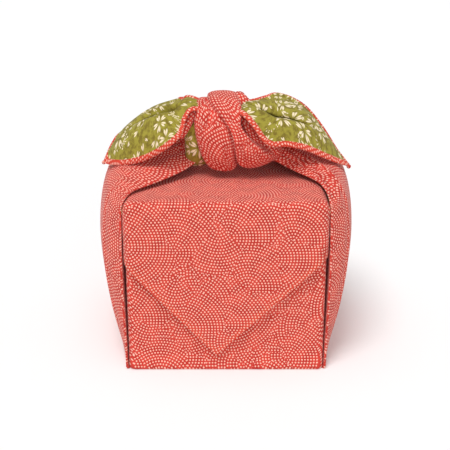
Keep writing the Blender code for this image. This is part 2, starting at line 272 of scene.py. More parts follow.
def strip_surface(at, share, folded=True):
    """Points across the right strip at one place along it; share runs from front fold to back fold."""
    front, middle, back = (through(strip_lines[name], at) for name in ("front", "middle", "back"))
    side = through(strip_lines["side"], at)
    chord = (front + back) / 2
    outward = unit(middle - chord)
    rise = np.linalg.norm(middle - chord)
    across = np.abs(2 * share - 1)
    edge = np.sin(np.minimum(1, (1 - across) * SHOULDER) * math.pi / 2)
    height = side * edge + (rise - side) * (1 - across ** CROWN)
    width = np.linalg.norm(back - front)
    if folded:
        for fold in STRIP_FOLDS:
            if not fold["start"] < at < fold["end"] + 1:
                continue
            part = (at - fold["start"]) / (fold["end"] - fold["start"])
            inward = (share if fold["from"] == "front" else 1 - share) * width
            place = (inward - fold["in"][0] - (fold["in"][1] - fold["in"][0]) * part) / fold["width"]
            grown = np.clip((at - fold["start"]) / 1.2, 0, 1) * np.clip(fold["end"] + 1 - at, 0, 1)
            lip = np.where(place < 0, np.exp(-(place / 0.2) ** 2), np.exp(-place))
            trough = np.exp(-((place + 0.5) / 0.3) ** 2)
            height = height + fold["height"] * grown * (lip - 0.5 * trough)
        gathered = np.clip((at - GATHERS["from"]) / GATHERS["over"], 0, 1)
        wave = np.cos(share * GATHERS["count"] * math.pi)
        height = height + GATHERS["high"] * gathered * wave * edge
    return front + (back - front) * share[:, None] + outward * height[:, None], outward


def pleat_line(depth, fold):
    """The pleat in plan, from the panel's rounded edge to the strip's front fold: out and back."""
    inner = [(0.0, back) for back in np.linspace(EDGE_ROUND, depth, INNER_STEPS + 1)[1:]]
    half = FOLD_GAP / 2
    turn = [(half * (1 - math.cos(a)), depth + half * math.sin(a)) for a in TURN_ANGLES]
    parts = np.linspace(0, 1, INNER_STEPS + 2)
    outer = [(FOLD_GAP + fold * part, depth + (FOLD_SET_BACK - depth) * part) for part in parts]
    middle = FOLD_GAP + fold + EDGE_ROLL
    roll = [(middle - EDGE_ROLL * math.cos(a), FOLD_SET_BACK - EDGE_ROLL * math.sin(a)) for a in TURN_ANGLES]
    return np.array(inner + turn + outer + roll)


def waves(points, size, scale, seed):
    """Slow unevenness of a cloth, in millimetres."""
    return np.array([size * noise.noise(Vector(point) / scale + Vector((seed, 0, 0))) for point in points])


# The panel's rounded upright edge in plan: out and back.
edge_turn = np.radians([22.5, 45, 67.5, 90])
edge_plan = np.stack([EDGE_ROUND * (np.sin(edge_turn) - 1), EDGE_ROUND * (1 - np.cos(edge_turn))], axis=1)
pleat_count = len(pleat_line(20.0, 1.0))
# The columns across a strip stand closest together beside its folds, where the pleats are.
strip_share = np.concatenate([
    np.linspace(0, 0.2, 35)[:-1], np.linspace(0.2, 0.86, 31)[:-1], np.linspace(0.86, 1.0, 20)])
front_x = np.linspace(EDGE_ROUND - PANEL, PANEL - EDGE_ROUND, FRONT_COLUMNS)
path_steps = np.linspace(0, last_place, 120)
path_length = lengths(np.array([through(strip_lines["middle"], at) for at in path_steps]))
# The left side is the right side turned half round.
HALF_TURN = np.array([-1.0, -1.0, 1.0])

wall_rows = []
for at, foot in [(0.0, row) for row in FOOT] + [(at, None) for at in np.linspace(0, last_wall, WALL_STEPS)]:
    z, depth, fold = (read_table(WALL, name, at) for name in ("z", "pleat", "fold"))
    front = np.stack([front_x, np.full(FRONT_COLUMNS, -PANEL), np.full(FRONT_COLUMNS, z)], axis=1)
    front[:, 1] -= waves(front, size=0.25, scale=30, seed=3) * math.sin(math.pi * z / BODY_HIGH)
    back = front * HALF_TURN
    swell = BACK_SWELL * math.sin(math.pi * z / WALL[-1]["z"])
    back[:, 1] = PANEL + swell * (1 - (back[:, 0] / PANEL) ** 2)
    plan = np.concatenate([edge_plan, pleat_line(depth, fold)])
    first = np.stack([PANEL + plan[:, 0], -PANEL + plan[:, 1], np.full(len(plan), z)], axis=1)
    strip, _ = strip_surface(at, strip_share)
    last = first[::-1] * np.array([1, -1, 1])
    side = np.concatenate([first, strip, last])
    across = lengths(strip) - lengths(strip)[-1] / 2
    up = PANEL + np.interp(at, path_steps, path_length)
    strip_places = np.stack([np.full(len(strip), up), across], axis=1)
    corner = np.array([PANEL - EDGE_ROUND, -PANEL - z])
    lead = np.linalg.norm(first[0] - front[-1])
    run = ((lead + lengths(first)) / (lead + lengths(first)[-1]))[:, None]
    first_places = corner + (strip_places[0] - corner) * run
    corner = np.array([PANEL - EDGE_ROUND, PANEL + z])
    last_places = (corner + (strip_places[-1] - corner) * run)[::-1]
    side_places = np.concatenate([first_places, strip_places, last_places])
    front_places = np.stack([front_x, np.full(FRONT_COLUMNS, -PANEL - z)], axis=1)
    row_points = np.concatenate([front, side, back, side * HALF_TURN])
    near_face = np.clip((np.abs(row_points[:, 1]) - (PANEL - FLARE["reach"])) / FLARE["reach"], 0, 1)
    flare = FLARE["out"] * max(0.0, 1 - z / FLARE["high"]) ** 2
    row_points[:, 1] += np.sign(row_points[:, 1]) * near_face * flare
    if foot:
        row_points = row_points * np.array([foot["pull"], foot["pull"], 0]) + np.array([0, 0, foot["z"]])
    row_places = np.concatenate([front_places, side_places, -front_places, -side_places])
    wall_rows.append(cloth.row(row_points, row_places))
cloth.join(wall_rows, closed=True)

# ---- The cloth: under the box ------------------------------------------------------------------------
# The middle of the cloth, where all four corners start. It lies flat under the box, taut from foot to
# foot, and the whole weight stands on it.

BASE_POINTS = 10
BASE_REACH = {"x": 0.98, "y": 0.96}
BASE_Z = 0.27

base_x = np.linspace(-BASE_REACH["x"] * PANEL, BASE_REACH["x"] * PANEL, BASE_POINTS)
base_rows = []
for y in np.linspace(-BASE_REACH["y"] * PANEL, BASE_REACH["y"] * PANEL, BASE_POINTS):
    base_points = np.stack([base_x, np.full(BASE_POINTS, y), np.full(BASE_POINTS, BASE_Z)], axis=1)
    base_rows.append(cloth.row(base_points, base_points[:, :2]))
cloth.join(base_rows[::-1])

# ---- The cloth: the near corner, over the box --------------------------------------------------------
# The near corner comes up the front and is laid over the box top, and its tip is tucked down behind the
# box, inside the back panel. The far corner covers all of it.

NEAR_Z = TOP + 2.75
NEAR_PATH = table_of("y z narrow follow", [
    [-PANEL + 0.9, NEAR_Z - 0.9, 1.0, 0.7],
    [-PANEL + 3.0, NEAR_Z, 0.985, 0.4],
    [-PANEL / 2, NEAR_Z - 0.3, 0.97, 0.0],
    [0.0, NEAR_Z - 0.4, 0.96, 0.0],
    [PANEL / 2, NEAR_Z - 0.3, 0.95, 0.0],
    [PANEL - 4.0, NEAR_Z - 0.2, 0.93, 0.0],
    [PANEL - 1.6, NEAR_Z - 2.2, 0.9, 0.0],
    [PANEL - 1.4, TOP - 40.0, 0.5, 0.0],
    [PANEL - 1.4, TOP - 84.0, 0.02, 0.0],
])

side_columns = 2 * len(edge_plan) + 2 * pleat_count + len(strip_share)
top_row = wall_rows[-1]
near_edge = len(edge_plan)
near_first = np.concatenate([top_row[-near_edge:], top_row[:FRONT_COLUMNS + near_edge]])
near_x = np.concatenate([-(PANEL + edge_plan[::-1, 0]), front_x, PANEL + edge_plan[:, 0]])
near_set_back = np.concatenate([edge_plan[::-1, 1], np.zeros(FRONT_COLUMNS), edge_plan[:, 1]])
near_rows = [near_first]
near_run = PANEL + WALL[-1]["z"]
previous = (-PANEL, WALL[-1]["z"])
for row in NEAR_PATH:
    near_run += math.hypot(row["y"] - previous[0], row["z"] - previous[1])
    previous = (row["y"], row["z"])
    x = near_x * row["narrow"]
    points = np.stack([x, row["y"] + near_set_back * row["follow"], np.full(len(x), row["z"])], axis=1)
    near_rows.append(cloth.row(points, np.stack([x, np.full(len(x), -near_run)], axis=1)))
cloth.join(near_rows)

# ---- The cloth: the far corner, over the top and down the front --------------------------------------
# The far corner comes up the back, lies over the top and hangs down the front as a flat triangle. Its
# two hems run at about 45 degrees to a tip a little left of the middle, just off the cloth under them.

FLAP_Z = NEAR_Z + 1.5
FLAP_OUT = 3.1
FLAP_BEND = 3.6
FLAP_SAG = 0.5
FLAP_BELLY = {"out": 0.35, "high": 85.0}
FLAP_COLUMNS = FRONT_COLUMNS + 2 * near_edge
# Seen from the front, x and z: its tip, and where its hems go out of sight round the upright edges.
FLAP_TIP = (-5.3, 10.3)
FLAP_LEFT = (-PANEL, 63.0)
FLAP_RIGHT = (PANEL, 67.5)
FLAP_HEM_TOP = 72.0
TIP_BLUNT = 0.3
HEM_SLANT = 0.71
# On the top it lies flat this far from the middle, and widens on its way until it wraps the side edges.
FLAP_FLAT = 44.0
FLAP_SPREAD = 60.0
FLAP_NARROW = 1.5
FLAP_WRAP = 8.0
FLAP_CORNER = 0.7
WRAP_FROM = 20.0
WRAP_OVER = 50.0

far_first = top_row[FRONT_COLUMNS + side_columns - near_edge:][:FLAP_COLUMNS]
flap_front = -PANEL - FLAP_OUT
# Each row of the way the flap takes: back, up, how far it follows the rounded edges, and its turn down.
flap_path = [(PANEL - 0.9, FLAP_Z - 0.9, 0.7, 0.0), (PANEL - 3.0, FLAP_Z, 0.4, 0.0)]
for y in np.linspace(FLAP_FLAT, -FLAP_FLAT, 30):
    flap_path.append((y, FLAP_Z - FLAP_SAG * math.cos(y / PANEL * math.pi / 2), 0.0, 0.0))
for angle in np.linspace(0, math.pi / 2, 9):
    bend_y = flap_front + FLAP_BEND * (1 - math.sin(angle))
    flap_path.append((bend_y, FLAP_Z - FLAP_BEND * (1 - math.cos(angle)), 0.0, angle))
front_heights = np.linspace(FLAP_Z - FLAP_BEND - 1.5, FLAP_TIP[1] + 1.2, 58)
for z in np.append(front_heights, [FLAP_TIP[1] + 0.5, FLAP_TIP[1]]):
    flap_path.append((flap_front, z, 0.0, math.pi / 2))
flap_share = np.linspace(1, -1, FLAP_COLUMNS)
flap_share = flap_share + 0.15 * np.sin(flap_share * math.pi)


def flap_reach(z):
    """The left and right ends of the flap at one height, counted on round the upright edges."""
    left, right = (
        FLAP_TIP[0] + (x - FLAP_TIP[0]) * (z - FLAP_TIP[1]) / (high - FLAP_TIP[1])
        for x, high in (FLAP_LEFT, FLAP_RIGHT))
    return max(left - TIP_BLUNT, -PANEL - FLAP_WRAP), min(right + TIP_BLUNT, PANEL + FLAP_WRAP)


def round_the_edge(x):
    """Turn what reaches past the side edges inward along the sides: x, and how far inward."""
    start = PANEL - EDGE_ROUND
    radius = EDGE_ROUND + FOLD_GAP / 2 + FLAP_CORNER
    past = np.maximum(np.abs(x) - start, 0)
    angle = np.minimum(past / radius, math.pi / 2)
    beyond = np.maximum(past - radius * math.pi / 2, 0)
    tucked = FLAP_CORNER * np.clip(beyond / 1.5, 0, 1)
    reach = np.where(past > 0, start + radius * np.sin(angle) - tucked, np.abs(x))
    back = radius * (1 - np.cos(angle)) + beyond
    return np.sign(x) * reach, back + (FLAP_OUT - FOLD_GAP / 2) * np.minimum(back / 3, 1)


flap_rows = [far_first]
flap_run = PANEL + WALL[-1]["z"]
previous = (PANEL, WALL[-1]["z"])
for y, z, follow, angle in flap_path:
    flap_run += math.hypot(y - previous[0], z - previous[1])
    previous = (y, z)
    hem = None
    if angle < math.pi / 2:
        part = np.clip((FLAP_FLAT - y) / FLAP_SPREAD, 0, 1)
        wrapped = np.clip((WRAP_FROM - y) / WRAP_OVER, 0, 1)
        half_width = PANEL - FLAP_NARROW + (FLAP_WRAP + FLAP_NARROW) * wrapped
        flat_x = -near_x * (1 - part) + flap_share * half_width * part
        left, right = -half_width, half_width
    else:
        left, right = flap_reach(z)
        flat_x = (right + left) / 2 + (right - left) / 2 * flap_share
        near_hem = np.minimum(flat_x - left, right - flat_x) * HEM_SLANT
        if z < FLAP_HEM_TOP:
            hem = np.where(np.abs(flat_x) < PANEL + FLAP_WRAP - 0.1, near_hem, NO_HEM)
    x, inward = round_the_edge(flat_x) if y < 30 else (flat_x, 0 * flat_x)
    points = np.stack([x, y - near_set_back * follow, np.full(FLAP_COLUMNS, z)], axis=1)
    points += np.outer(inward, (0.0, math.sin(angle), -math.cos(angle)))
    if -FLAP_FLAT < y < FLAP_FLAT:
        points[:, 2] += waves(points, size=0.35, scale=26, seed=9)
    if angle == math.pi / 2:
        belly = min(1, max(0, (z - FLAP_TIP[1]) / FLAP_BELLY["high"]))
        points[:, 1] -= FLAP_BELLY["out"] * math.sin(math.pi * belly)
        points[:, 1] -= waves(points, size=0.3, scale=24, seed=5) * (np.abs(x) < PANEL - 3)
    places = np.stack([flat_x, np.full(FLAP_COLUMNS, flap_run)], axis=1)
    flap_rows.append(cloth.row(points, places, hem))
cloth.join(flap_rows)

# ---- The cloth: the side strips over the top ---------------------------------------------------------
# The left and right corners are pulled up and in over the top with their edges turned under, and are
# gathered into soft pleats that run into the knot.

TOP_STEPS = 35
TURNED_SHARE = 0.46
TURNED_LEAST = EDGE_ROUND + 0.5
TURNED_SINK = {"deep": 0.6, "over": 5.0}

for side in (1, -1):
    begin = FRONT_COLUMNS + near_edge if side > 0 else 2 * FRONT_COLUMNS + side_columns + near_edge
    rows = [top_row[begin:begin + 2 * pleat_count + len(strip_share)]]
    for at in np.linspace(last_wall, last_place, TOP_STEPS)[1:]:
        strip, outward = strip_surface(at, strip_share)
        width = np.linalg.norm(strip[-1] - strip[0])
        depth = max(min(through(strip_lines["turned"], at), TURNED_SHARE * width), TURNED_LEAST)
        plan = pleat_line(depth, 0.0)
        under = plan[:, 1] - FOLD_SET_BACK
        inward = np.minimum(under / width, 0.5)
        sunk = TURNED_SINK["deep"] * np.clip(under / TURNED_SINK["over"], 0, 1)
        layer = (plan[:, 0] - FOLD_GAP - 2 * EDGE_ROLL - sunk)[:, None]
        front_under, _ = strip_surface(at, inward, folded=False)
        back_under, _ = strip_surface(at, 1 - inward, folded=False)
        points = np.concatenate([front_under + outward * layer, strip, (back_under + outward * layer)[::-1]])
        across = lengths(points) - lengths(points)[-1] / 2
        run = PANEL + np.interp(at, path_steps, path_length)
        places = np.stack([np.full(len(points), run), across], axis=1)
        turn = np.array([side, side, 1.0])
        rows.append(cloth.row(points * turn, places * side))
    cloth.join(rows)

# ---- The cloth: the knot -----------------------------------------------------------------------------
# A square knot: each corner's gathered cloth makes one bight round the other's. Seen from the front,
# a swollen bulge comes up on the left, and a sash comes over the cap and down across it to the lower
# right, where it fans out into the right strip. The back is the same, turned half round and lower.
BULGE = table_of("left right front back", [
    [(-7.2, -14.0, 105.6), (2.8, -14.0, 104.6), 1.5, 3.0],
    [(-10.5, -15.0, 107.5), (5.6, -15.0, 106.0), 4.5, 7.0],
    [(-13.4, -15.0, 112.4), (7.2, -15.0, 111.0), 6.5, 10.0],
    [(-15.2, -15.0, 118.0), (8.3, -15.0, 116.8), 7.5, 10.0],
    [(-16.6, -14.5, 124.7), (8.3, -14.5, 123.5), 8.0, 10.0],
    [(-17.3, -13.0, 131.4), (7.7, -13.0, 131.0), 7.5, 10.0],
    [(-17.0, -11.0, 135.4), (5.0, -11.0, 134.6), 6.0, 9.0],
    [(-16.6, -8.0, 138.6), (1.6, -8.0, 137.6), 4.2, 7.0],
    [(-15.6, -5.0, 140.6), (-1.0, -5.0, 139.6), 2.4, 4.0],
    [(-14.4, -2.5, 141.2), (-2.0, -2.5, 140.4), 0.6, 0.6],
])
SASH = table_of("left right front back", [
    [(-8.0, 6.0, 135.5), (7.0, 6.0, 135.5), 3.0, 3.0],
    [(-10.0, 0.0, 140.2), (6.6, 0.0, 140.4), 4.4, 3.0],
    [(-9.8, -6.0, 141.8), (6.8, -6.0, 141.2), 3.2, 3.5],
    [(-8.6, -12.0, 141.4), (7.8, -12.0, 139.6), 2.8, 4.0],
    [(-6.2, -16.4, 139.6), (8.4, -16.0, 137.0), 2.6, 5.0],
    [(-3.4, -19.4, 137.0), (8.0, -18.6, 134.2), 2.2, 5.0],
    [(-0.5, -21.0, 133.4), (7.8, -20.0, 131.2), 1.8, 5.0],
    [(2.5, -21.8, 128.6), (9.2, -21.0, 128.2), 1.6, 5.0],
    [(4.0, -21.8, 124.0), (12.1, -21.0, 124.4), 2.0, 5.0],
    [(4.8, -21.2, 119.6), (15.1, -20.4, 120.8), 2.8, 5.5],
    [(5.4, -19.6, 114.6), (19.6, -18.8, 117.4), 4.0, 6.5],
    [(6.8, -17.0, 109.0), (23.4, -16.4, 115.2), 4.6, 7.0],
    [(11.5, -13.0, 106.4), (26.3, -13.0, 113.6), 4.4, 6.0],
    [(17.0, -10.0, 106.6), (29.5, -9.0, 112.8), 3.6, 5.0],
    [(24.0, -8.5, 108.0), (33.5, -4.0, 112.0), 2.4, 3.0],
    [(33.0, -9.0, 106.5), (38.5, 0.0, 110.5), 1.0, 1.5],
])
SIDE_FOLD = table_of("left right front back", [
    [(4.0, 2.0, 140.5), (8.5, 2.0, 140.0), 1.8, 2.0],
    [(5.0, -2.5, 142.6), (10.6, -2.5, 141.2), 2.0, 3.0],
    [(6.6, -5.0, 141.2), (13.4, -5.0, 139.4), 2.2, 3.5],
    [(7.8, -6.5, 138.6), (14.0, -6.5, 136.6), 2.2, 3.5],
    [(8.2, -7.5, 135.6), (12.4, -7.5, 134.4), 1.8, 3.0],
    [(8.4, -8.0, 133.0), (10.4, -8.0, 132.2), 0.8, 1.5],
])
RIGHT_ROOT = table_of("left right front back", [
    [(5.0, -7.0, 136.0), (10.5, -7.0, 134.0), 3.0, 4.0],
    [(8.0, -12.0, 130.0), (14.0, -13.0, 128.6), 3.0, 5.0],
    [(11.0, -13.0, 124.6), (18.6, -14.5, 122.0), 3.0, 5.0],
    [(15.0, -12.0, 118.8), (25.0, -14.0, 117.0), 3.0, 6.0],
    [(20.0, -9.0, 113.4), (31.0, -12.0, 113.4), 3.0, 6.0],
])
LEFT_ROOT = table_of("left right front back", [
    [(-17.5, -6.0, 137.6), (-12.0, -6.0, 137.6), 2.6, 3.0],
    [(-20.6, -11.0, 134.0), (-15.6, -11.0, 134.6), 3.0, 4.0],
    [(-22.6, -14.0, 130.0), (-18.2, -14.0, 131.0), 3.0, 4.0],
    [(-25.0, -16.0, 125.4), (-20.4, -16.0, 126.8), 2.6, 3.0],
    [(-27.0, -16.5, 122.0), (-23.4, -16.5, 122.4), 1.0, 1.0],
])
THROAT = table_of("left right front back", [
    [(-24.0, -5.0, 107.5), (-10.0, -5.0, 106.5), 5.0, 4.0],
    [(-22.5, -9.0, 112.5), (-11.0, -9.0, 112.0), 5.0, 5.0],
    [(-22.6, -10.0, 118.5), (-12.5, -10.0, 118.5), 4.5, 5.0],
    [(-23.0, -10.0, 124.0), (-14.0, -10.0, 125.0), 4.0, 5.0],
    [(-21.5, -9.0, 130.0), (-14.0, -9.0, 131.0), 3.0, 4.0],
])
# Creases on the knot, as lines seen from the front: x and z, how deep and how wide. Where beyond is 1,
# everything past the line is pressed in with it.
BULGE_CREASES = table_of("line depth width beyond", [
    [[(-11.4, 144.0), (-8.6, 141.0), (-7.4, 137.0), (-9.4, 130.6)], 3.8, 1.4, 0],
    [[(0.2, 119.0), (0.0, 113.0), (1.6, 105.0)], 2.4, 1.1, 0],
    [[(-13.0, 121.0), (-9.0, 112.0), (-6.0, 106.0)], 0.6, 1.8, 0],
    [[(-6.5, 136.0), (-3.0, 128.0), (-1.0, 121.0)], 0.6, 2.2, 0],
    [[(-9.4, 142.6), (-6.5, 140.4), (-3.5, 138.2), (-0.5, 134.6), (2.7, 129.2), (4.2, 124.2),
      (5.0, 119.8), (5.6, 114.6), (7.0, 107.0)], 4.2, 1.8, 1],
])
SASH_CREASES = table_of("line depth width beyond", [
    [[(-3.5, 144.5), (2.0, 139.0), (4.5, 133.0), (6.2, 126.0)], 0.9, 1.6, 0],
    [[(8.0, 122.0), (9.5, 115.0), (12.0, 107.0)], 1.5, 1.2, 0],
    [[(12.0, 121.0), (16.0, 115.0), (21.0, 109.5)], 1.3, 1.4, 0],
])
KNOT_FOLDS = table_of("edges creases start blunt", [
    [BULGE, BULGE_CREASES, (225, 0), 0.8],
    [SASH, SASH_CREASES, (262, 24), 0.5],
    [SIDE_FOLD, [], (290, -20), 0.6],
])
SMALL_COLUMNS = 28
# The knot is tied from gathered cloth, layer in layer. Simple closed layers inside each fold, at these
# shares of its size, stand for the gathered cloth. They aren't joined to the strips or the ears.
INNER_LAYERS = (0.88, 0.76, 0.64, 0.52, 0.4)
LAYER_STEPS = 10
LAYER_COLUMNS = 9
KNOT_SIDES = table_of("turn drop steps columns", [
    [1, 0.0, 46, 68],
    [-1, 5.0, 34, 50],
])
DROP_FROM = 108.0
DROP_OVER = 15.0
# Where the ears come out of the knot, and the left corner's green side, open beside it.
KNOT_ROOTS = table_of("edges steps columns start inside_out", [
    [RIGHT_ROOT, 20, 28, (300, 20), False],
    [LEFT_ROOT, 20, 28, (-300, 20), False],
    [THROAT, 26, 40, (-280, -14), True],
])


def sleeve(table, steps, columns, shrink=1.0, blunt=0.8):
    """Closed rings of a gathered fold of cloth, through a table of its left and right edges."""
    at = np.linspace(0, len(table) - 1, steps)
    left, right, front, back = (read_table(table, name, at) for name in ("left", "right", "front", "back"))
    centre = (left + right) / 2
    along = np.gradient(centre, axis=0)
    angle = np.linspace(0, 2 * math.pi, columns, endpoint=False)
    rings = []
    for index in range(steps):
        side = (right[index] - left[index]) / 2 * shrink
        out = unit(np.cross(unit(along[index]), unit(side)))
        swell = np.array([front[index], back[index]]) * shrink
        if out @ np.array([0.0, -1.0, 0.3]) < 0:
            swell = swell[::-1]
        rise = np.sin(angle)
        rise = np.where(rise > 0, swell[0], swell[1]) * np.sign(rise) * np.abs(rise) ** blunt
        rings.append(centre[index] + np.outer(np.cos(angle), side) + np.outer(rise, out))
    return np.array(rings)


def line_distance(x, z, line):
    """How far points seen from the front are from a broken line."""
    best = np.full(x.shape, 1e9)
    for (x0, z0), (x1, z1) in zip(line, line[1:]):
        run_x, run_z = x1 - x0, z1 - z0
        part = np.clip(((x - x0) * run_x + (z - z0) * run_z) / (run_x ** 2 + run_z ** 2), 0, 1)
        best = np.minimum(best, np.hypot(x - x0 - part * run_x, z - z0 - part * run_z))
    return best


def press_creases(rings, creases):
    """Push the front of a fold in along its creases."""
    middle = rings.mean(axis=1, keepdims=True)
    away = rings - middle
    away = away / np.maximum(np.linalg.norm(away, axis=2, keepdims=True), 1e-6)
    facing = np.clip((0.3 * away[..., 2] - away[..., 1]) * 2, 0, 1)
    inward = np.array([0.0, 1.0, -0.25])
    for crease in creases:
        near = line_distance(rings[..., 0], rings[..., 2], crease["line"]) / crease["width"]
        push = np.exp(-near ** 2) - 0.25 * np.exp(-(near - 2) ** 2)
        if crease["beyond"]:
            line_x, line_z = np.array(crease["line"][::-1]).T
            past = (rings[..., 0] > np.interp(rings[..., 2], line_z, line_x)) & (rings[..., 2] < line_z[-1])
            push = np.where(past, 1.0, push)
        push = crease["depth"] * push * facing
        rings = rings + inward * push[..., None]
    return rings


def add_sleeve(rings, start, inside_out=False):
    """Add closed rings to the cloth, with their places in the flat cut."""
    step = -1 if inside_out else 1
    rows = []
    for ring, run in zip(rings, lengths(rings.mean(axis=1))):
        round_it = lengths(ring)
        across = start[1] + round_it - round_it[-1] / 2
        places = np.stack([np.full(len(ring), start[0] + run), across], axis=1)
        rows.append(cloth.row(ring[::step], places[::step]))
    cloth.join(rows, closed=True)


for side in KNOT_SIDES:
    turned = np.array([side["turn"], side["turn"], 1.0])
    for fold in KNOT_FOLDS:
        columns = side["columns"] if fold["creases"] else SMALL_COLUMNS
        outside = sleeve(fold["edges"], side["steps"], columns, 1.0, fold["blunt"])
        layers = [press_creases(outside, fold["creases"])]
        layers += [sleeve(fold["edges"], LAYER_STEPS, LAYER_COLUMNS, shrink) for shrink in INNER_LAYERS]
        for rings in layers:
            lowered = side["drop"] * np.clip((rings[..., 2:] - DROP_FROM) / DROP_OVER, 0, 1)
            add_sleeve((rings - np.array([0.0, 0.0, 1.0]) * lowered) * turned, fold["start"])
for root in KNOT_ROOTS:
    add_sleeve(sleeve(root["edges"], root["steps"], root["columns"]), root["start"], root["inside_out"])

# ---- The cloth: the ears -----------------------------------------------------------------------------
# The free ends of the left and right corners stand out from the knot, inside out, so the green side
# and its red hem show. Each swells over a tucked fold near the knot, and its tip rests on the shoulder
# of the strip below.

EAR_STEPS = 58
RIGHT_EAR = table_of("lower upper rise valley sunk curl", [
    [(3.0, -10.0, 133.0), (7.0, -2.0, 137.5), 1.0, 0.5, 0.5, -0.3],
    [(8.0, -20.0, 136.6), (13.5, -1.0, 137.6), 3.0, 0.5, 1.0, -0.3],
    [(14.6, -22.5, 130.0), (19.0, 2.0, 138.2), 5.0, 0.5, 2.0, -0.3],
    [(19.6, -23.0, 122.7), (23.6, 5.0, 138.8), 7.0, 0.48, 3.0, -0.3],
    [(25.0, -23.0, 119.4), (29.0, 6.0, 138.4), 8.0, 0.46, 3.4, -0.3],
    [(33.0, -22.6, 119.4), (35.0, 5.4, 136.6), 7.6, 0.44, 2.4, -0.3],
    [(43.0, -21.6, 117.0), (43.0, 4.0, 131.8), 6.4, 0.42, 0.6, -0.3],
    [(53.0, -19.2, 112.0), (52.0, 1.4, 123.0), 4.2, 0.5, 0.0, -0.3],
    [(62.0, -15.6, 107.4), (60.0, -2.4, 113.0), 2.0, 0.5, 0.0, -0.3],
    [(68.6, -11.4, 104.4), (68.4, -10.6, 104.8), 0.0, 0.5, 0.0, 0.0],
])
LEFT_EAR = table_of("lower upper rise valley sunk curl", [
    [(-6.0, -8.0, 131.0), (-6.0, -2.0, 137.5), 0.5, 0.5, 0.5, -0.3],
    [(-17.0, -15.5, 137.4), (-15.0, -2.0, 139.0), 2.0, 0.55, 0.8, -0.35],
    [(-21.3, -19.0, 134.2), (-20.5, -1.0, 139.6), 4.0, 0.55, 2.0, -0.35],
    [(-23.8, -22.0, 126.0), (-26.4, 2.0, 138.8), 7.0, 0.56, 5.0, 0.6],
    [(-29.4, -23.0, 120.4), (-33.0, 4.0, 136.6), 9.5, 0.6, 5.0, 1.1],
    [(-37.0, -23.0, 115.2), (-40.5, 4.6, 133.6), 10.2, 0.62, 2.6, 1.15],
    [(-45.5, -21.5, 110.8), (-49.0, 3.6, 128.6), 9.0, 0.64, 0.8, 1.1],
    [(-54.5, -18.5, 107.8), (-57.8, 1.0, 121.6), 6.4, 0.6, 0.0, 0.9],
    [(-62.0, -14.8, 106.6), (-63.8, -3.6, 114.4), 3.0, 0.6, 0.0, 0.3],
    [(-67.6, -10.9, 106.3), (-67.5, -10.2, 107.0), 0.0, 0.5, 0.0, 0.1],
])
# The upper edge rolls back at this radius where curl is above 0, and stands open where it is below.
CURL_RADIUS = 2.6
TUCK_SHARES = np.linspace(0.1, 1, 7)
TUCK_BACK = (1.8, 1.0)
TIP_SOFT = 12.0
# From the middle of the cloth to its corner, which is half the diagonal of the flat cut.
CORNER_RUN = 353.0
# The hem's thread is knotted off at each tip in a small nub.
TIP_NUBS = table_of("at radius", [
    [(68.7, -11.4, 104.3), 1.0],
    [(-68.2, -10.8, 106.5), 0.9],
])


def ear_middle(table, at):
    """The middle of the ear, between its two hems."""
    return (read_table(table, "lower", at) + read_table(table, "upper", at)) / 2


def ear_section(table, at, tip_distance):
    """Points across one ear, from its lower hem through the tucked fold to its upper hem."""
    lower, upper = (read_table(table, name, at) for name in ("lower", "upper"))
    rise, valley, sunk, curl = (
        float(read_table(table, name, at)) for name in ("rise", "valley", "sunk", "curl"))
    chord = unit(upper - lower)
    onward = unit(ear_middle(table, at + 0.3) - ear_middle(table, at - 0.3))
    out = unit(np.cross(onward, chord))
    if out[1] > 0:
        out = -out

    def lobe(share):
        """Points on the ear's face, with the dent of the tucked fold."""
        dent = np.clip(1 - np.abs(share - valley) / 0.1, 0, 1) ** 1.4
        height = rise * np.maximum(np.sin(math.pi * share), 0) ** 0.8 - sunk * dent
        open_edge = np.clip((share - 0.8) / 0.2, 0, 1)
        height = height * (1 - open_edge) + rise * max(-curl, 0) * open_edge
        return lower + (upper - lower) * share[:, None] + out * height[:, None]

    below = np.linspace(0, valley, 18)
    above = np.linspace(valley + 0.02, 1, 30)
    scale = min(1.0, tip_distance / TIP_SOFT)
    tuck_long = (0.98 - valley) * np.clip((tip_distance - 8) / 40, 0.15, 0.9)
    behind = lobe(valley + tuck_long * TUCK_SHARES)
    angles = np.linspace(0, max(curl, 0.1) * math.pi, 7)[1:]
    upper = lobe(np.array([1.0]))[0]
    roll = np.outer(np.cos(angles) - 1, out) + np.outer(np.sin(angles), chord)
    return np.concatenate([
        lobe(below), behind - out * TUCK_BACK[0] * scale, behind[::-1] - out * TUCK_BACK[1] * scale,
        lobe(above), upper + roll * CURL_RADIUS * scale])


for ear, side in ((RIGHT_EAR, 1), (LEFT_EAR, -1)):
    stops = np.linspace(0, len(ear) - 1, EAR_STEPS)
    passed = lengths(np.array([ear_middle(ear, at) for at in stops]))
    rows = []
    for at, to_tip in zip(stops, passed[-1] - passed):
        points = ear_section(ear, at, to_tip)
        across = lengths(points)
        hems = np.minimum(np.minimum(across, across[-1] - across), to_tip * 0.7 + 0.2)
        corner_run = np.full(len(points), side * (CORNER_RUN - to_tip))
        places = np.stack([corner_run, across - across[-1] / 2], axis=1)
        rows.append(cloth.row(points[::side], places[::side], hems[::side]))
    cloth.join(rows)

for nub in TIP_NUBS:
    rings = []
    angle = np.linspace(0, 2 * math.pi, 12, endpoint=False)
    for lift in np.radians(np.linspace(-80, 80, 7)):
        ring = np.stack([np.cos(angle), np.sin(angle), np.full(12, math.tan(lift))], axis=1) * math.cos(lift)
        rings.append(np.array(nub["at"]) + nub["radius"] * ring)
    add_sleeve(np.array(rings), (CORNER_RUN - 1, 0))

# ---- The cloth: its hem, its thickness and its mesh --------------------------------------------------
# The cloth's red outside and green inside are the two faces of one thin sheet. Its hem is turned twice
# and sewn, red side over on to the green, so it is thicker and stands a little proud.

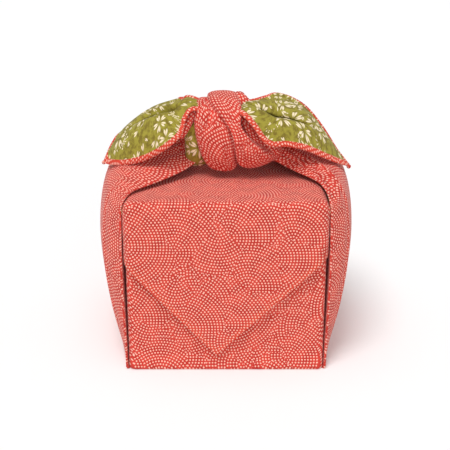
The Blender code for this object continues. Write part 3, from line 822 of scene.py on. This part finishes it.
CLOTH_THICK = 0.5
HEM_THICK = 1.25
HEM_WIDTH = 3.2
HEM_RISE = 0.5

points = np.concatenate(cloth.points)
places = np.concatenate(cloth.places)
hems = np.concatenate(cloth.hems)
quads = np.concatenate(cloth.quads)
diagonal_a = points[quads[:, 2]] - points[quads[:, 0]]
diagonal_b = points[quads[:, 3]] - points[quads[:, 1]]
face_normals = np.cross(diagonal_a, diagonal_b)
normals = np.zeros_like(points)
for corner in range(4):
    np.add.at(normals, quads[:, corner], face_normals)
normals = normals / np.maximum(np.linalg.norm(normals, axis=1, keepdims=True), 1e-9)
thick = CLOTH_THICK + (HEM_THICK - CLOTH_THICK) * np.clip((HEM_WIDTH - hems) / HEM_RISE, 0, 1)
outer = points + normals * (CLOTH_THICK / 2)
inner = points - normals * (thick - CLOTH_THICK / 2)[:, None]
sides = np.concatenate([quads[:, [0, 1]], quads[:, [1, 2]], quads[:, [2, 3]], quads[:, [3, 0]]])
keys = np.sort(sides, axis=1)
_, where, uses = np.unique(keys, axis=0, return_index=True, return_counts=True)
rim = sides[where[uses == 1]]
half = len(points)
rim_quads = np.stack([rim[:, 1], rim[:, 0], rim[:, 0] + half, rim[:, 1] + half], axis=1)
all_quads = np.concatenate([quads, quads[:, ::-1] + half, rim_quads])
slots = np.concatenate([np.zeros(len(quads)), np.ones(len(quads)), np.zeros(len(rim_quads))]).astype(np.int32)

mesh = bpy.data.meshes.new("furoshiki_cloth")
mesh.vertices.add(2 * half)
mesh.vertices.foreach_set("co", (np.concatenate([outer, inner]) * MM).ravel())
mesh.loops.add(all_quads.size)
mesh.loops.foreach_set("vertex_index", all_quads.ravel().astype(np.int32))
mesh.polygons.add(len(all_quads))
mesh.polygons.foreach_set("loop_start", np.arange(0, all_quads.size, 4, dtype=np.int32))
mesh.polygons.foreach_set("material_index", slots)
mesh.update(calc_edges=True)
mesh.validate()
flat_map = mesh.uv_layers.new(name="flat_cut")
flat_map.data.foreach_set("uv", (np.concatenate([places, places])[all_quads.ravel()] * MM).ravel())
hem_map = mesh.attributes.new("hem_distance", "FLOAT", "POINT")
hem_map.data.foreach_set("value", np.concatenate([hems, hems]))
mesh.shade_smooth()
furoshiki = bpy.data.objects.new("furoshiki_cloth", mesh)
bpy.context.scene.collection.objects.link(furoshiki)

# ---- The cloth: its two prints -----------------------------------------------------------------------
# Outside, fine cream dots on red, in overlapping fans of rings. Inside, cream blossoms and loose petals
# on olive green. Both are printed on plain-weave cotton, and keep their place in the flat cut.

DOT_PITCH = 1.66
DOT_RADIUS = 0.45
DOT_UNEVEN = 0.4
DOT_SOFT = 0.12
# The ground's fans have their centres far aside. The fans over it have theirs near their own rims.
GROUND_FANS = {"spacing": 21.0, "seed": 3.3, "loose": 0.8, "aside": 14.0}
FAN_SIDE = 0.95
FANS = table_of("spacing seed reach", [
    [24.0, 11.4, 13.0],
    [25.0, 27.9, 13.5],
    [28.0, 41.7, 14.5],
])
RED = (0.55, 0.031, 0.020, 1.0)
RED_WORN = (0.70, 0.058, 0.037, 1.0)
HEM_RED = (0.72, 0.07, 0.035, 1.0)
CREAM = (0.97, 0.55, 0.44, 1.0)
GREEN = (0.36, 0.31, 0.04, 1.0)
GREEN_DARK = (0.20, 0.15, 0.02, 1.0)
BLOSSOM = (0.90, 0.76, 0.52, 1.0)
# Petals and rays are measured in shares of their blossom's radius.
PETALS = 5
PETAL_FROM = 0.12
PETAL_WIDE = 0.125
PETAL_APART = 0.19
RAY = {"from": 0.2, "to": 0.66, "dot": 0.84}
WEAVE = {"warp": 0.55, "weft": 0.6, "deep": 0.03}
STITCH = {"in": 0.5, "wide": 0.28, "deep": 0.3}


def flat_place(nodes):
    """The place in the flat cut, in millimetres."""
    return nodes.scale(nodes.add("ShaderNodeUVMap", {}, uv_map="flat_cut"), 1 / MM)


def length_of(nodes, first, second):
    """The length of a slanted line with these two sides."""
    squares = nodes.math("ADD", nodes.math("MULTIPLY", first, first), nodes.math("MULTIPLY", second, second))
    return nodes.math("SQRT", squares)


def dot_print(nodes, place, hem):
    """Cream dots on red in overlapping fans of rings; returns the colour."""
    centre, _, colour = nodes.cells(place, GROUND_FANS["spacing"], GROUND_FANS["seed"], GROUND_FANS["loose"])
    aside = nodes.vector("NORMALIZE", nodes.vector("SUBTRACT", colour, (0.5, 0.5, 0.5)))
    shift = GROUND_FANS["aside"]
    centre = nodes.vector("ADD", centre, nodes.vector("MULTIPLY", aside, (shift, shift, 0.0)))
    for fan in FANS:
        above, distance, colour = nodes.cells(place, fan["spacing"], fan["seed"], 0.85)
        flat = nodes.vector("MULTIPLY", nodes.vector("SUBTRACT", colour, (0.5, 0.5, 0.5)), (1.0, 1.0, 0.0))
        shift = FAN_SIDE * fan["reach"]
        aside = nodes.vector("MULTIPLY", nodes.vector("NORMALIZE", flat), (shift, shift, 0.0))
        over = nodes.math("LESS_THAN", distance, fan["reach"])
        centre = nodes.mix_vector(over, centre, nodes.vector("ADD", above, aside))
    offset = nodes.vector("SUBTRACT", place, centre)
    parts = nodes.add("ShaderNodeSeparateXYZ", {0: offset}).node
    radius = nodes.vector("LENGTH", offset, output="Value")
    angle = nodes.math("ARCTAN2", parts.outputs["Y"], parts.outputs["X"])
    ring = nodes.math("ROUND", nodes.math("DIVIDE", radius, DOT_PITCH))
    count = nodes.math("MAXIMUM", nodes.math("ROUND", nodes.math("MULTIPLY", ring, 2 * math.pi)), 1.0)
    turn = nodes.math("MULTIPLY", nodes.math("DIVIDE", angle, 2 * math.pi), count)
    off_dot = nodes.math("SUBTRACT", turn, nodes.math("ROUND", turn))
    along = nodes.math("MULTIPLY", off_dot, DOT_PITCH)
    out = nodes.math("SUBTRACT", radius, nodes.math("MULTIPLY", ring, DOT_PITCH))
    away = length_of(nodes, along, out)
    uneven = nodes.noise(place, 0.9, 2.0)
    size = nodes.math("ADD", DOT_RADIUS - DOT_UNEVEN / 2, nodes.math("MULTIPLY", uneven, DOT_UNEVEN))
    dot = nodes.step(nodes.math("SUBTRACT", size, away), -DOT_SOFT, DOT_SOFT)
    ground = nodes.mix(nodes.step(nodes.noise(place, 0.16, 3.0), 0.28, 0.72), RED, RED_WORN)
    on_hem = nodes.math("MULTIPLY", nodes.step(hem, HEM_WIDTH + 0.6, HEM_WIDTH - 0.6), 0.7)
    ground = nodes.mix(on_hem, ground, HEM_RED)
    return nodes.mix(dot, ground, CREAM)


def motif(nodes, place, spacing, seed, size, share):
    """A motif's own coordinates at loose spots: radius, angle, whether it is there, and what it covers."""
    centre, distance, colour = nodes.cells(place, spacing, seed, 0.75)
    chance = nodes.add("ShaderNodeSeparateColor", {0: colour}).node
    offset = nodes.vector("SUBTRACT", place, centre)
    parts = nodes.add("ShaderNodeSeparateXYZ", {0: offset}).node
    growth = nodes.math("MULTIPLY", chance.outputs["Green"], 0.25)
    grown = nodes.math("MULTIPLY", nodes.math("ADD", 0.85, growth), size)
    radius = nodes.math("DIVIDE", nodes.vector("LENGTH", offset, output="Value"), grown)
    angle = nodes.math("ARCTAN2", parts.outputs["Y"], parts.outputs["X"])
    turned = nodes.math("ADD", angle, nodes.math("MULTIPLY", chance.outputs["Red"], 2 * math.pi))
    shown = nodes.math("LESS_THAN", chance.outputs["Blue"], share)
    covers = nodes.math("MULTIPLY", shown, nodes.math("LESS_THAN", distance, size * 1.02))
    return radius, turned, shown, covers


def petals(nodes, place, spacing, seed, size, share, each_side):
    """Blossoms of notched petals, each of two slender lobes: one in the middle and some on each side."""
    radius, turned, shown, covers = motif(nodes, place, spacing, seed, size, share)
    sector = nodes.math("DIVIDE", turned, 2 * math.pi / PETALS)
    number = nodes.math("ROUND", sector)
    off = nodes.math("MULTIPLY", nodes.math("SUBTRACT", sector, number), 2 * math.pi / PETALS)
    off = nodes.math("SUBTRACT", nodes.math("ABSOLUTE", off), PETAL_APART)
    along = nodes.math("MULTIPLY", radius, nodes.math("COSINE", off))
    aside = nodes.math("ABSOLUTE", nodes.math("MULTIPLY", radius, nodes.math("SINE", off)))
    part = nodes.math("DIVIDE", nodes.math("SUBTRACT", along, PETAL_FROM), 1 - PETAL_FROM)
    inside = nodes.math("MAXIMUM", nodes.math("MINIMUM", part, 1.0), 0.0)
    swell = nodes.math("SINE", nodes.math("MULTIPLY", nodes.math("POWER", inside, 1.5), math.pi))
    wide = nodes.math("MULTIPLY", swell, PETAL_WIDE)
    petal = nodes.step(nodes.math("SUBTRACT", wide, aside), -0.01, 0.05)
    wrapped = nodes.math("ABSOLUTE", nodes.math("WRAP", number, PETALS / 2, -PETALS / 2))
    petal = nodes.math("MULTIPLY", petal, nodes.math("LESS_THAN", wrapped, each_side + 0.5))
    return nodes.math("MULTIPLY", petal, shown), covers


def stamens(nodes, place, spacing, seed, size, share, rays):
    """Blossoms drawn only as fine rays that end in dots."""
    radius, turned, shown, covers = motif(nodes, place, spacing, seed, size, share)
    sector = nodes.math("DIVIDE", turned, 2 * math.pi / rays)
    off = nodes.math("SUBTRACT", sector, nodes.math("ROUND", sector))
    off = nodes.math("MULTIPLY", off, 2 * math.pi / rays)
    aside = nodes.math("ABSOLUTE", nodes.math("MULTIPLY", radius, nodes.math("SINE", off)))
    ray = nodes.step(aside, 0.07, 0.03)
    ray = nodes.math("MULTIPLY", ray, nodes.math("LESS_THAN", radius, RAY["to"]))
    ray = nodes.math("MULTIPLY", ray, nodes.math("GREATER_THAN", radius, RAY["from"]))
    far = nodes.math("SUBTRACT", radius, RAY["dot"])
    dot = nodes.step(length_of(nodes, far, aside), 0.14, 0.08)
    drawn = nodes.math("MAXIMUM", nodes.math("MAXIMUM", ray, dot), nodes.math("LESS_THAN", radius, 0.1))
    return nodes.math("MULTIPLY", drawn, shown), covers


# Each layer of motifs lies under the ones before it: how far apart its spots are, how large it is, and
# the share of the spots that are filled. The last number counts petals on each side, or rays.
MOTIFS = table_of("draw spacing seed size share number", [
    [petals, 15.0, 5.2, 4.9, 0.8, 2],
    [petals, 12.0, 18.6, 4.4, 0.8, 1],
    [petals, 8.5, 33.1, 3.4, 0.85, 0],
    [stamens, 12.5, 47.3, 3.6, 0.7, 9],
])


def blossom_print(nodes, place, hem):
    """Cream blossoms, half-blossoms and loose petals on green; returns the colour."""
    fade = nodes.noise(place, 0.3, 6.0, Roughness=0.7)
    ground = nodes.mix(nodes.step(fade, 0.36, 0.6), GREEN_DARK, GREEN)
    mask, covered = 0.0, 0.0
    for row in MOTIFS:
        drawn, covers = row["draw"](
            nodes, place, row["spacing"], row["seed"], row["size"], row["share"], row["number"])
        free = nodes.math("MULTIPLY", drawn, nodes.math("SUBTRACT", 1.0, covered))
        mask = nodes.math("MAXIMUM", mask, free)
        covered = nodes.math("MAXIMUM", covered, covers)
    rolled = nodes.step(hem, HEM_WIDTH + 0.1, HEM_WIDTH - 0.1)
    return nodes.mix(rolled, nodes.mix(mask, ground, BLOSSOM), dot_print(nodes, place, hem))


def finish_cotton(nodes, place, colour, hem):
    """Plain-weave cotton: matt, slightly fuzzy, with the weave and small creases as bump."""
    parts = nodes.add("ShaderNodeSeparateXYZ", {0: place}).node
    warp = nodes.math("SINE", nodes.math("MULTIPLY", parts.outputs["X"], 2 * math.pi / WEAVE["warp"]))
    weft = nodes.math("SINE", nodes.math("MULTIPLY", parts.outputs["Y"], 2 * math.pi / WEAVE["weft"]))
    weave = nodes.math("MULTIPLY", nodes.math("MULTIPLY", warp, weft), WEAVE["deep"])
    slow = nodes.noise(place, 0.16, 4.0, Roughness=0.5)
    off_stitch = nodes.math("ABSOLUTE", nodes.math("SUBTRACT", hem, HEM_WIDTH - STITCH["in"]))
    stitch = nodes.step(off_stitch, 0.0, STITCH["wide"])
    height = nodes.math("ADD", weave, nodes.math("MULTIPLY", slow, 0.5))
    height = nodes.math("ADD", height, nodes.math("MULTIPLY", stitch, STITCH["deep"]))
    bump = nodes.add("ShaderNodeBump", {"Height": height, "Strength": 0.5, "Distance": MM})
    nodes.tree.links.new(bump, nodes.shader.inputs["Normal"])
    nodes.tree.links.new(colour, nodes.shader.inputs["Base Color"])
    nodes.shader.inputs["Roughness"].default_value = 0.88
    nodes.shader.inputs["Specular IOR Level"].default_value = 0.25
    nodes.shader.inputs["Sheen Weight"].default_value = 0.12
    nodes.shader.inputs["Sheen Roughness"].default_value = 0.5


for name, printed in (("cotton_dots", dot_print), ("cotton_blossoms", blossom_print)):
    nodes = Nodes(name)
    place = flat_place(nodes)
    hem = nodes.add("ShaderNodeAttribute", {}, "Fac", attribute_name="hem_distance")
    colour = printed(nodes, place, hem)
    finish_cotton(nodes, place, colour, hem)
    mesh.materials.append(nodes.material)

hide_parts("furoshiki")
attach(furoshiki, "root")

# ---- The table, the light and the view ---------------------------------------------------------------
# A white table that runs on out of sight on all sides. Broad soft light comes from above and in front,
# and the view is from the front, looking down a little.

TABLE_REACH = 14.0
TABLE_WHITE = (0.9, 0.9, 0.9, 1.0)
TABLE_GLOW = 0.09
ROOM_LIGHT = 0.34
LIGHTS = table_of("name from softness power", [
    ["top_light", (-0.1, -0.15, 1.3), 50, 0.6],
    ["key_light", (-0.3, -0.6, 1.5), 26, 1.6],
    ["fill_light", (0.2, -1.3, 0.35), 45, 0.6],
])
VIEW_FROM = (-0.0005, -0.553, 0.2878)
VIEW_DOWN = 22.0
VIEW_LENS = 81.7

corners = [(-1, -1), (1, -1), (1, 1), (-1, 1)]
floor_mesh = bpy.data.meshes.new("floor")
floor_mesh.from_pydata([(x * TABLE_REACH, y * TABLE_REACH, 0) for x, y in corners], [], [(0, 1, 2, 3)])
floor = bpy.data.objects.new("floor", floor_mesh)
bpy.context.scene.collection.objects.link(floor)
white = Nodes("white_table")
white.shader.inputs["Base Color"].default_value = TABLE_WHITE
white.shader.inputs["Roughness"].default_value = 0.9
white.shader.inputs["Emission Color"].default_value = (1.0, 1.0, 1.0, 1.0)
white.shader.inputs["Emission Strength"].default_value = TABLE_GLOW
floor_mesh.materials.append(white.material)

world = bpy.data.worlds.new("studio")
world.use_nodes = True
world.node_tree.nodes["Background"].inputs["Color"].default_value = (1.0, 1.0, 1.0, 1.0)
world.node_tree.nodes["Background"].inputs["Strength"].default_value = ROOM_LIGHT
bpy.context.scene.world = world
bpy.context.scene.view_settings.view_transform = "Standard"

for row in LIGHTS:
    light = bpy.data.lights.new(row["name"], "SUN")
    light.angle = math.radians(row["softness"])
    light.energy = row["power"]
    lamp = bpy.data.objects.new(row["name"], light)
    lamp.location = row["from"]
    lamp.rotation_euler = (-Vector(row["from"])).to_track_quat("-Z", "Y").to_euler()
    bpy.context.scene.collection.objects.link(lamp)

camera_data = bpy.data.cameras.new("camera")
camera_data.lens = VIEW_LENS
camera = bpy.data.objects.new("camera", camera_data)
camera.location = VIEW_FROM
camera.rotation_euler = (math.radians(90 - VIEW_DOWN), 0.0, 0.0)
bpy.context.scene.collection.objects.link(camera)
bpy.context.scene.camera = camera
